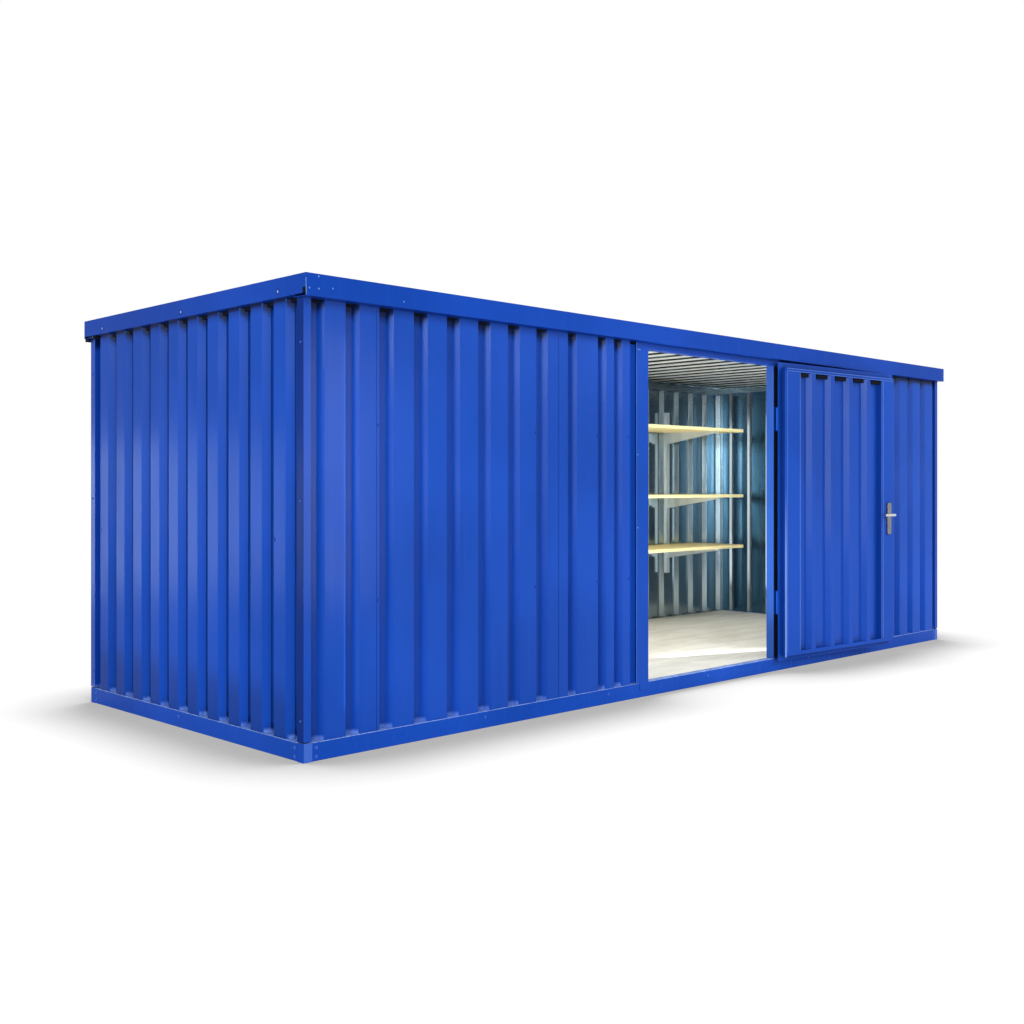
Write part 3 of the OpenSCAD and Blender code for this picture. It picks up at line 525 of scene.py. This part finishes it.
def finish_walls(mats):
    """The wall sheets' bare inner sides, and their last grooves painted paler as painted light."""
    outward = {"wall_front": FRONT, "wall_rear": REAR, "wall_end_left": LEFT, "wall_end_right": RIGHT}
    for start, out in outward.items():
        for name in nodes_named(start):
            repaint(name, mats["zinc"], lambda at, n, out=out: n.dot(out) < -0.1)
    # Painted reflection: the right end wall's room side is a darker teal zinc, for the shaded shelves it
    # mirrors.
    repaint("wall_end_right", mats["zinc_teal_shade"], lambda at, n: n.x < -0.95)

    # Painted light: the narrow groove beside the left door post is painted lighter than the wall, against its
    # shadow
    closing_x = flats_and_grooves("wall_front_closing_sheet", FRONT)[0][-1][1] + 0.02
    repaint("wall_front_closing_sheet", mats["groove"], lambda at, n: at.x > closing_x and n.y < 0)

    # So are the last grooves of the short sides, beside the rear corner posts, as painted light
    for node, out in (("wall_end_left", LEFT), ("wall_end_right", RIGHT)):
        last_y = flats_and_grooves(node, out)[0][-1][1] + 0.01
        repaint(node, mats["groove"], lambda at, n, y=last_y, out=out: at.y > y and n.dot(out) > 0.1)


def finish_frame(mats):
    """The reveal painted darker as shade, the zinc on the room's side, the blocks painted paler as a painted
    reflection and the posts' shaded faces.
    """
    # Painted shade: the hinge post's reveal is a darker, greyer copy of the paint.
    repaint("door_post_right", mats["reveal"], lambda at, n: n.x < -0.9)

    # The room's sides of the frame are bare zinc
    web_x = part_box("corner_post_rear_right")[1].x - 0.03
    web_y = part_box("floor_panel_left")[1].y + 0.014
    for name in nodes_named("roof_profile", "roof_end", "corner_post"):
        repaint(name, mats["zinc"], lambda at, n: abs(at.x) < web_x and abs(at.y) <= web_y
                and Vector((at.x * abs(n.x), at.y * abs(n.y), 0)).dot(n) <= 0 and n.z < 0.5)
    repaint("corner_post_rear_right", mats["zinc"], lambda at, n: n.x < -0.9 and at.x < web_x)

    # The corner blocks' faces on the long sides are painted paler, a painted reflection
    repaint("base_corner_blocks", mats["block"], lambda at, n: abs(n.y) > 0.9)

    # The front posts' faces on the short sides lie in the walls' shade
    for name in nodes_named("corner_post_front"):
        out = RIGHT if name.endswith("right") else LEFT
        repaint(name, mats["post_side"], lambda at, n, out=out: n.dot(out) > 0.9)


def finish_roof_sheets(mats):
    """Underside of the roof: pans painted pale as a painted reflection, ribs painted dark as painted shade.
    Its top is duller zinc.
    """
    for name in nodes_named("roof_sheet"):
        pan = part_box(name)[0].z + 0.004
        repaint(name, mats["zinc_pale_and_lit"], lambda at, n, pan=pan: n.z < -0.5 and at.z < pan)
        repaint(name, mats["zinc_shade_and_mastic"], lambda at, n, pan=pan: n.z < -0.2 and at.z >= pan)
        repaint(name, mats["zinc_roof"], lambda at, n: n.z > 0.02)


# ---------------------------------------------------------------- shapes of small pieces

def piece(name, bm, body, material):
    """Turns a bmesh into a piece that rides on a body."""
    mesh = bpy.data.meshes.new(name)
    bmesh.ops.recalc_face_normals(bm, faces=bm.faces)
    bm.to_mesh(mesh)
    bm.free()
    mesh.materials.append(material)
    o = bpy.data.objects.new(name, mesh)
    bpy.context.scene.collection.objects.link(o)
    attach(o, body)
    return o


def skin_loops(bm, loops):
    """Closes a row of equal rings of points into one solid."""
    count = len(loops[0])
    for low, high in zip(loops, loops[1:]):
        for k in range(count):
            j = (k + 1) % count
            bm.faces.new((low[k], low[j], high[j], high[k]))
    bm.faces.new(loops[0][::-1])
    bm.faces.new(loops[-1])


def turned(bm, at, out, rings, sides, spin=0.0):
    """A closed turned or many-sided shape standing on a face: rings are (radius, height)."""
    turn = Vector(out).to_track_quat("Z", "Y").to_matrix()
    angles = [spin + 2 * math.pi * k / sides for k in range(sides)]
    skin_loops(bm, [[bm.verts.new(Vector(at) + turn @ Vector((r * math.cos(a), r * math.sin(a), h)))
                     for a in angles] for r, h in rings])


def hex_screw(bm, at, out, size, spin):
    """Screw head with its washer; size is the washer's radius."""
    washer, head = size * 0.12, size * 0.62
    turned(bm, at, out, [(size, 0), (size, washer), (size * 0.9, washer * 1.5)], 20)
    turned(bm, at, out, [(head, washer), (head, head * 0.85), (head * 0.86, head)], 6, spin)


def rivet(bm, at, out, size, spin):
    """Blind rivet: low dome with the mandrel's dimple."""
    dome = ((1, 0), (1, 0.12), (0.85, 0.32), (0.5, 0.46), (0.28, 0.5), (0.24, 0.34))
    turned(bm, at, out, [(size * r, size * h) for r, h in dome], 16, spin)


def flat_head(bm, at, out, size, spin):
    """Flat round head of a flush rivet."""
    turned(bm, at, out, [(size, 0.0), (size, 0.0004), (size * 0.8, 0.0009)], 18, spin)


def screws(name, body, material, places, size, kind=hex_screw):
    """Many heads as one piece: places are (point, outward direction)."""
    bm = bmesh.new()
    for i, (at, out) in enumerate(places):
        kind(bm, at, out, size, 0.7 * i if kind is hex_screw else 0.0)
    return piece(name, bm, body, material)


def block(bm, low, high):
    """An upright tapered block between two rectangles (x0, y0, x1, y1, z)."""
    skin_loops(bm, [[bm.verts.new((x, y, z)) for x, y in ((x0, y0), (x1, y0), (x1, y1), (x0, y1))]
                    for x0, y0, x1, y1, z in (low, high)])


def prism(bm, outline, foot, top):
    """An upright prism over a plan outline."""
    skin_loops(bm, [[bm.verts.new((x, y, z)) for x, y in outline] for z in (foot, top)])


def strips(node, out):
    """Upright faces of a node that look outwards: (place along the wall from, to, depth), sorted."""
    axis = 1 if abs(out.y) > 0.5 else 0
    along = 1 - axis
    mesh = NODES[node].data
    found = set()
    for p in mesh.polygons:
        if p.normal.dot(out) > 0.999:
            at = [mesh.vertices[v].co for v in p.vertices]
            found.add((round(min(c[along] for c in at), 4), round(max(c[along] for c in at), 4),
                       round(at[0][axis], 4)))
    return sorted(found)


def flats_and_grooves(node, out):
    """The outer flats and the groove bottoms of a wall sheet, each as (from, to, depth)."""
    axis = 1 if abs(out.y) > 0.5 else 0
    faces = strips(node, out)
    outer = max(d * out[axis] for _, _, d in faces)
    flats = [f for f in faces if outer - f[2] * out[axis] < 0.01]
    grooves = [f for f in faces if outer - f[2] * out[axis] > 0.02]
    return flats, grooves


def heights(node):
    """The heights at which a node has corners, to the millimetre, from low to high."""
    return sorted({round(v.co.z, 3) for v in NODES[node].data.vertices})


def widest_gap(values):
    """The two neighbours in a sorted row that lie furthest apart."""
    return max(zip(values, values[1:]), key=lambda pair: pair[1] - pair[0])


# ---------------------------------------------------------------- the building's small pieces

def groove_shade_fillers(name, nodes, out, foot, top, mats):
    """Dark foam fillers in the tops of the grooves, a little behind the flats, which also stand in for the
    shade there.
    """
    slope, skin, behind = 0.022, 0.0006, 0.020
    bm = bmesh.new()
    for node in nodes:
        flats, grooves = flats_and_grooves(node, out)
        axis = 1 if abs(out.y) > 0.5 else 0
        sign = out[axis]
        face = flats[0][2] - sign * behind
        for lo, hi, depth in grooves:
            near = depth + sign * skin
            grow = slope * (1 - (behind - skin) / abs(flats[0][2] - depth)) - skin
            plan = [(lo + skin, near), (hi - skin, near), (hi + grow, face), (lo - grow, face)]
            if axis == 0:
                plan = [(y, x) for x, y in plan]
            prism(bm, plan, foot, top)
    return piece(name, bm, "container", mats["foam"])


def eave_shade_fillers(mats):
    """Foam between the wall sheets' grooves and the roof trim; its dark also stands in for the shade under
    the eave.
    """
    skin, tall, end_tall = 0.0005, 0.012, 0.020
    for name, nodes, out in (("eave_shade_fillers_front", nodes_named("wall_front"), FRONT),
                             ("eave_shade_fillers_rear", nodes_named("wall_rear"), REAR)):
        groove_shade_fillers(name, nodes, out, EAVE - tall, EAVE - skin, mats)
    for name, node, out in (("end_shade_fillers_left", "wall_end_left", LEFT),
                            ("end_shade_fillers_right", "wall_end_right", RIGHT)):
        groove_shade_fillers(name, [node], out, END_EAVE - end_tall, END_EAVE - skin, mats)


def wall_screws(mats):
    """Wall screws in two rows, near the far edge of the flats where the sheets lap."""
    rows, end_row = (0.69, 1.50), 0.975
    edge = 0.006
    main, _ = flats_and_grooves("wall_front_main_sheet", FRONT)
    closing, grooves = flats_and_grooves("wall_front_closing_sheet", FRONT)
    outer, _ = flats_and_grooves("wall_front_right_outer_sheet", FRONT)
    places = []
    for flat in (main[0], main[5], closing[1], closing[-1], outer[0], outer[-1]):
        places += [((flat[1] - edge, flat[2], z), FRONT) for z in rows]
    plate_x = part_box("door_post_left")[0].x
    places += [((plate_x - 0.02, grooves[-1][2], z), FRONT) for z in rows]
    for node in nodes_named("wall_rear"):
        flats, _ = flats_and_grooves(node, REAR)
        for flat in (flats[0], flats[-1]):
            places += [((flat[1] - edge, flat[2], z), REAR) for z in rows]
    for node, out in (("wall_end_left", LEFT), ("wall_end_right", RIGHT)):
        flats, _ = flats_and_grooves(node, out)
        places += [((flat[2], flat[1] - edge, end_row), out) for flat in (flats[0], flats[-1])]
    screws("wall_screws", "container", mats["wall"], places, 0.0075)


def frame_screws(mats):
    """Screws in the posts' short sides, and bolts through the base rails and corner blocks."""
    post_in = 0.023
    places = [((sx * FRAME_X, sy * (FRAME_Y - post_in), z), RIGHT * sx)
              for sx in (-1, 1) for sy in (-1, 1) for z in (0.18, 1.15, 1.85)]
    screws("post_screws", "container", mats["frame"], places, 0.007)

    rail_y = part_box("base_rail_front")[0].y
    rail_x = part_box("base_rail_left")[0].x
    along = (1.115, 2.064, 2.996, 4.15, 5.302)
    long_z, short_z = 0.054, 0.056
    corner_in = 0.068
    places = [((cad_lo.x + d, rail_y, long_z), FRONT) for d in along]
    places += [((cad_hi.x - d, -rail_y, long_z), REAR) for d in along]
    places += [((sx * abs(rail_x), -sx * 0.05, short_z), RIGHT * sx) for sx in (-1, 1)]
    for sx in (-1, 1):
        for z in (0.020, 0.060):
            places += [((sx * (FRAME_X - corner_in), sy * abs(rail_y), z), REAR * sy) for sy in (-1, 1)]
            places += [((sx * abs(rail_x), sy * (FRAME_Y - corner_in), z), RIGHT * sx) for sy in (-1, 1)]
    screws("rail_bolts", "container", mats["bolt"], places, 0.0090)


def fascia_details(mats):
    """Flush rivets at the fascias' corners, and pale strips on the edges of their left and right ends,
    painted as highlights.
    """
    near_end = ((0.019, 0.034), (0.068, 0.035), (0.068, 0.089), (0.144, 0.044), (0.55, 0.030))
    far_end = ((0.021, 0.037), (0.021, 0.064))
    spots = [(cad_lo.x + d, EAVE + h) for d, h in near_end] + [(cad_hi.x - d, EAVE + h) for d, h in far_end]
    places = [((x, -cad_hi.y, z), FRONT) for x, z in spots]
    places += [((-x, cad_hi.y, z), REAR) for x, z in spots if z < cad_hi.z - 0.02]
    screws("fascia_rivets", "container", mats["edge"], places, 0.0042, kind=flat_head)

    wide, proud = 0.0022, 0.0006
    bm = bmesh.new()
    for sx in (-1, 1):
        for sy in (-1, 1):
            x0, x1 = sorted((sx * cad_hi.x, sx * (cad_hi.x - wide)))
            y0, y1 = sorted((sy * cad_hi.y, sy * (cad_hi.y + proud)))
            block(bm, (x0, y0, x1, y1, EAVE + 0.001), (x0, y0, x1, y1, cad_hi.z - 0.024))
    piece("fascia_edge_highlights", bm, "container", mats["pale_edge"])


def post_plate(mats):
    """Lip and rivets of the left door post's plate, pale: the lip's paleness is a painted highlight."""
    low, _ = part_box("door_post_left")
    wide, proud = 0.0022, 0.0008
    lip = (low.x, low.y - proud, low.x + wide, low.y)
    bm = bmesh.new()
    block(bm, (*lip, RAIL_TOP + 0.002), (*lip, EAVE - 0.004))
    piece("post_plate_lip", bm, "container", mats["edge"])
    spots = ((0.016, EAVE - 0.045), (0.030, EAVE - 0.045), (0.012, 0.98), (0.012, 1.40))
    places = [((low.x + dx, low.y, z), FRONT) for dx, z in spots]
    screws("post_plate_rivets", "container", mats["edge"], places, 0.0045, kind=rivet)


def gutter_shade_plugs(mats):
    """Dark foam plugs under the ends of the rear gutter, in two steps, which also stand in for the shade
    there.
    """
    low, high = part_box("roof_profile_rear")
    wall_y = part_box("corner_post_rear_left")[1].y
    bm = bmesh.new()
    for sx in (-1, 1):
        x0, x1 = sorted((sx * (high.x - 0.002), sx * (high.x - 0.040)))
        for y, drop in ((wall_y + 0.003, 0.028), (low.y + 0.01, 0.010)):
            outline = (x0, y, x1, high.y - 0.003)
            block(bm, (*outline, END_EAVE - drop), (*outline, END_EAVE - 0.0005))
    piece("gutter_shade_plugs", bm, "container", mats["foam"])


def ledge_mastic(mats):
    """Dark mastic on the ledges behind the floor panels, filling the ribs' feet."""
    edge_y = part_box("floor_panel_left")[1].y + 0.0005
    mouth_y = edge_y + 0.010
    flare, thick = 0.020, 0.0006
    bm = bmesh.new()
    for node in nodes_named("wall_rear"):
        for x0, x1, depth in flats_and_grooves(node, REAR)[0]:
            back_y = depth - 0.0025
            outline = [(x0 - flare, edge_y), (x1 + flare, edge_y), (x1 + flare, mouth_y),
                       (x1 + 0.001, back_y), (x0 - 0.001, back_y), (x0 - flare, mouth_y)]
            prism(bm, outline, RAIL_TOP, RAIL_TOP + thick)
    piece("ledge_mastic", bm, "container", mats["zinc_shade_and_mastic"])


def hinge_side_seal(mats):
    """Rubber seal on the hinge post's face, left out beside the hinges."""
    low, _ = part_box("door_post_right")
    fixed, moving = heights("hinge_frame_halves"), heights("door_hinge_halves")
    fixed_gap, moving_gap = widest_gap(fixed), widest_gap(moving)
    half_lo, half_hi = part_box("hinge_frame_halves")
    off = 0.004
    free = [(RAIL_TOP + off, min(half_lo.z, moving[0]) - off),
            (max(fixed_gap[0], moving_gap[0]) + off, min(fixed_gap[1], moving_gap[1]) - off),
            (max(half_hi.z, moving[-1]) + off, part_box("door_header")[0].z - off)]
    base, beads = (0.0015, 0.0440, 0.0006), ((0.0060, 0.0150, 0.0020), (0.0280, 0.0370, 0.0020))
    bm = bmesh.new()
    for foot, top in free:
        for x0, x1, proud in (base, *beads):
            outline = (low.x + x0, low.y - proud, low.x + x1, low.y - 0.0001)
            block(bm, (*outline, foot), (*outline, top))
    piece("hinge_side_seal", bm, "container", mats["foam"])


def post_pads(mats):
    """Pads under the corner posts, in the gap above the blocks."""
    gap_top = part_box("corner_post_front_left")[0].z
    half_x, half_y, skin = 0.014, 0.019, 0.0003
    bm = bmesh.new()
    for sx in (-1, 1):
        for sy in (-1, 1):
            x, y = sx * (FRAME_X - 0.020), sy * (FRAME_Y - 0.025)
            pad = (x - half_x, y - half_y, x + half_x, y + half_y)
            block(bm, (*pad, RAIL_TOP + skin), (*pad, gap_top - skin))
    piece("post_pads", bm, "container", mats["foam"])


# ---------------------------------------------------------------- the door leaf's small pieces

class Leaf:
    """Places on the door leaf, which is drawn open: s from the hinge axis, n towards the inside, z up."""

    def __init__(self):
        joints = {j["name"]: j for j in frame["joints"]}
        self.hinge = Vector(joints["door_hinge"]["pos_m"])
        self.handle = Vector(joints["lever_turn"]["pos_m"])
        self.n = Vector(joints["lever_turn"]["axis"]).normalized()
        self.s = Vector((-self.n.y, self.n.x, 0))
        if (self.handle - self.hinge).dot(self.s) < 0:
            self.s = -self.s

    def at(self, s, n, z):
        return Vector((self.hinge.x, self.hinge.y, 0)) + self.s * s + self.n * n + UP * z

    def reach(self, node):
        """The node's extent: ((s, n, z) low, (s, n, z) high)."""
        at = [v.co - Vector((self.hinge.x, self.hinge.y, 0)) for v in NODES[node].data.vertices]
        rows = [(c.dot(self.s), c.dot(self.n), c.z) for c in at]
        return tuple(min(c) for c in zip(*rows)), tuple(max(c) for c in zip(*rows))

    def bar(self, bm, low, high, soft=0.0):
        """A bar between two corners, with its far edges drawn in by soft."""
        (s0, n0, z0), (s1, n1, z1) = low, high
        rings = [[(s0, n0, z0), (s1, n0, z0), (s1, n0, z1), (s0, n0, z1)],
                 [(s0, n1 - soft, z0), (s1, n1 - soft, z0), (s1, n1 - soft, z1), (s0, n1 - soft, z1)],
                 [(s0 + soft, n1, z0 + soft), (s1 - soft, n1, z0 + soft),
                  (s1 - soft, n1, z1 - soft), (s0 + soft, n1, z1 - soft)]]
        skin_loops(bm, [[bm.verts.new(self.at(*c)) for c in ring] for ring in rings])


def stiles(leaf):
    """(s from, s to, inner face) of the hinge stile and the lock stile, and the heights between the rails."""
    (h0, _, _), (h1, h_in, _) = leaf.reach("door_hinge_stile")
    (l0, _, _), (l1, l_in, _) = leaf.reach("door_lock_stile")
    foot = leaf.reach("door_bottom_rail")[1][2]
    top = leaf.reach("door_top_rail")[0][2]
    return (h0, h1, h_in), (l0, l1, l_in), foot, top


def leaf_folds(leaf, mats):
    """Folded lips along the leaf's frame, on the room's side, painted pale as highlights."""
    (h0, h1, h_in), (l0, l1, l_in), foot, top = stiles(leaf)
    top_in = leaf.reach("door_top_rail")[1][1]
    fold, wide, soft = 0.0014, 0.0025, 0.0006
    bm = bmesh.new()
    for z in (top + 0.002, top + 0.0185):
        leaf.bar(bm, (h0 + 0.050, top_in, z), (l1 - 0.044, top_in + fold, z + wide), soft)
    leaf.bar(bm, (h0 + 0.056, h_in, foot), (h0 + 0.056 + wide, h_in + fold, top), soft)
    leaf.bar(bm, (h1 - 0.004, h_in, foot), (h1 - 0.001, h_in + fold, top), soft)
    for s in (l0 + 0.001, l0 + 0.022):
        leaf.bar(bm, (s, l_in, foot), (s + wide, l_in + fold, top), soft)
    piece("leaf_folds", bm, "door_leaf", mats["edge"])


def stile_step(leaf, mats):
    """The hinge stile's rounded step, painted paler lower down as a painted reflection."""
    (h0, _, h_in), _, foot, top = stiles(leaf)
    bm = bmesh.new()
    leaf.bar(bm, (h0 + 0.030, h_in, foot - 0.03), (h0 + 0.048, h_in + 0.0012, top), 0.0006)
    piece("stile_step", bm, "door_leaf", mats["strip"])


def leaf_shade_fillers(leaf, mats):
    """Dark foam in the tops of the leaf's grooves, which stands in for the shade under the top rail."""
    _, (_, front, top) = leaf.reach("door_sheet")
    mesh = NODES["door_sheet"].data
    runs = set()
    for p in mesh.polygons:
        if p.normal.dot(leaf.n) > 0.999:
            at = [mesh.vertices[v].co - leaf.at(0, 0, 0) for v in p.vertices]
            along = [c.dot(leaf.s) for c in at]
            runs.add((round(min(along), 4), round(max(along), 4), round(at[0].dot(leaf.n), 4)))
    deep = min(n for _, _, n in runs)
    bm = bmesh.new()
    for lo, hi, n in sorted(runs):
        if n < deep + 0.002:
            leaf.bar(bm, (lo, deep + 0.0005, top - 0.026), (hi, front - 0.009, top - 0.0005))
    piece("leaf_shade_fillers", bm, "door_leaf", mats["foam"])


def leaf_rivets(leaf, mats):
    """Rivets along the stiles, on both faces."""
    (_, h1, h_in), (l0, _, l_in), foot, top = stiles(leaf)
    back = leaf.reach("door_sheet")[0][1]
    count, margin = 6, 0.12
    step = (top - foot - 2 * margin) / (count - 1)
    places = []
    for k in range(count):
        z = foot + margin + k * step
        places += [(leaf.at(h1 - 0.018, h_in, z), leaf.n), (leaf.at(l0 + 0.012, l_in, z), leaf.n)]
        places += [(leaf.at(h1 - 0.018, back, z), -leaf.n), (leaf.at(l0 + 0.012, back, z), -leaf.n)]
    screws("leaf_rivets", "door_leaf", mats["wall"], places, 0.004, kind=rivet)


def strap_screws(leaf, mats):
    """Two screws in each hinge strap on the leaf's outer face."""
    back = leaf.reach("door_sheet")[0][1] - 0.004
    strap_end = leaf.reach("door_hinge_halves")[1][0]
    tall = heights("door_hinge_halves")
    places = [(leaf.at(strap_end - 0.012, back, z), -leaf.n)
              for z in (tall[0] + 0.02, tall[0] + 0.062, tall[-1] - 0.062, tall[-1] - 0.02)]
    screws("strap_screws", "door_leaf", mats["wall"], places, 0.005)


def escutcheon_screws(leaf, mats):
    """Escutcheon screws and the lever's bearing discs, on both faces."""
    (s0, n0, z0), (s1, n1, z1) = leaf.reach("door_escutcheons")
    mid = (s0 + s1) / 2
    faces = ((n0, -leaf.n), (n1, leaf.n))
    screw = [(0.0042, -0.0004), (0.0042, 0.0006), (0.0032, 0.0010)]
    disc = [(0.0125, 0.0001), (0.0125, 0.0003), (0.0115, 0.0004)]
    bm = bmesh.new()
    for n, out in faces:
        for z in (z0 + 0.014, z1 - 0.014):
            turned(bm, leaf.at(mid, n, z), out, screw, 20)
    for n, out in faces:
        turned(bm, leaf.at(mid, n, leaf.handle.z), out, disc, 40)
    piece("escutcheon_screws", bm, "door_leaf", mats["steel"])


def keyway(leaf, mats):
    """The lock cylinder's keyways, on both faces, as dark marks that stand in for the shade in the slots."""
    (plate_s0, _, _), (plate_s1, _, _) = leaf.reach("door_escutcheons")
    (_, n0, z0), (_, n1, z1) = leaf.reach("door_lock")
    s, z = (plate_s0 + plate_s1) / 2, (z0 + z1) / 2
    half_wide, half_tall, proud = 0.0009, 0.0045, 0.0004
    bm = bmesh.new()
    for n in (n0, n1):
        leaf.bar(bm, (s - half_wide, n - proud, z - half_tall), (s + half_wide, n + proud, z + half_tall))
    piece("keyway", bm, "door_leaf", mats["foam"])


make_camera()
studio()
lights()
mats = make_materials()
finish_nodes(mats)
for add in (eave_shade_fillers, wall_screws, frame_screws, fascia_details, post_plate, gutter_shade_plugs, ledge_mastic,
            hinge_side_seal, post_pads):
    add(mats)
leaf = Leaf()
for add in (leaf_folds, stile_step, leaf_shade_fillers, leaf_rivets, strap_screws, escutcheon_screws, keyway):
    add(leaf, mats)
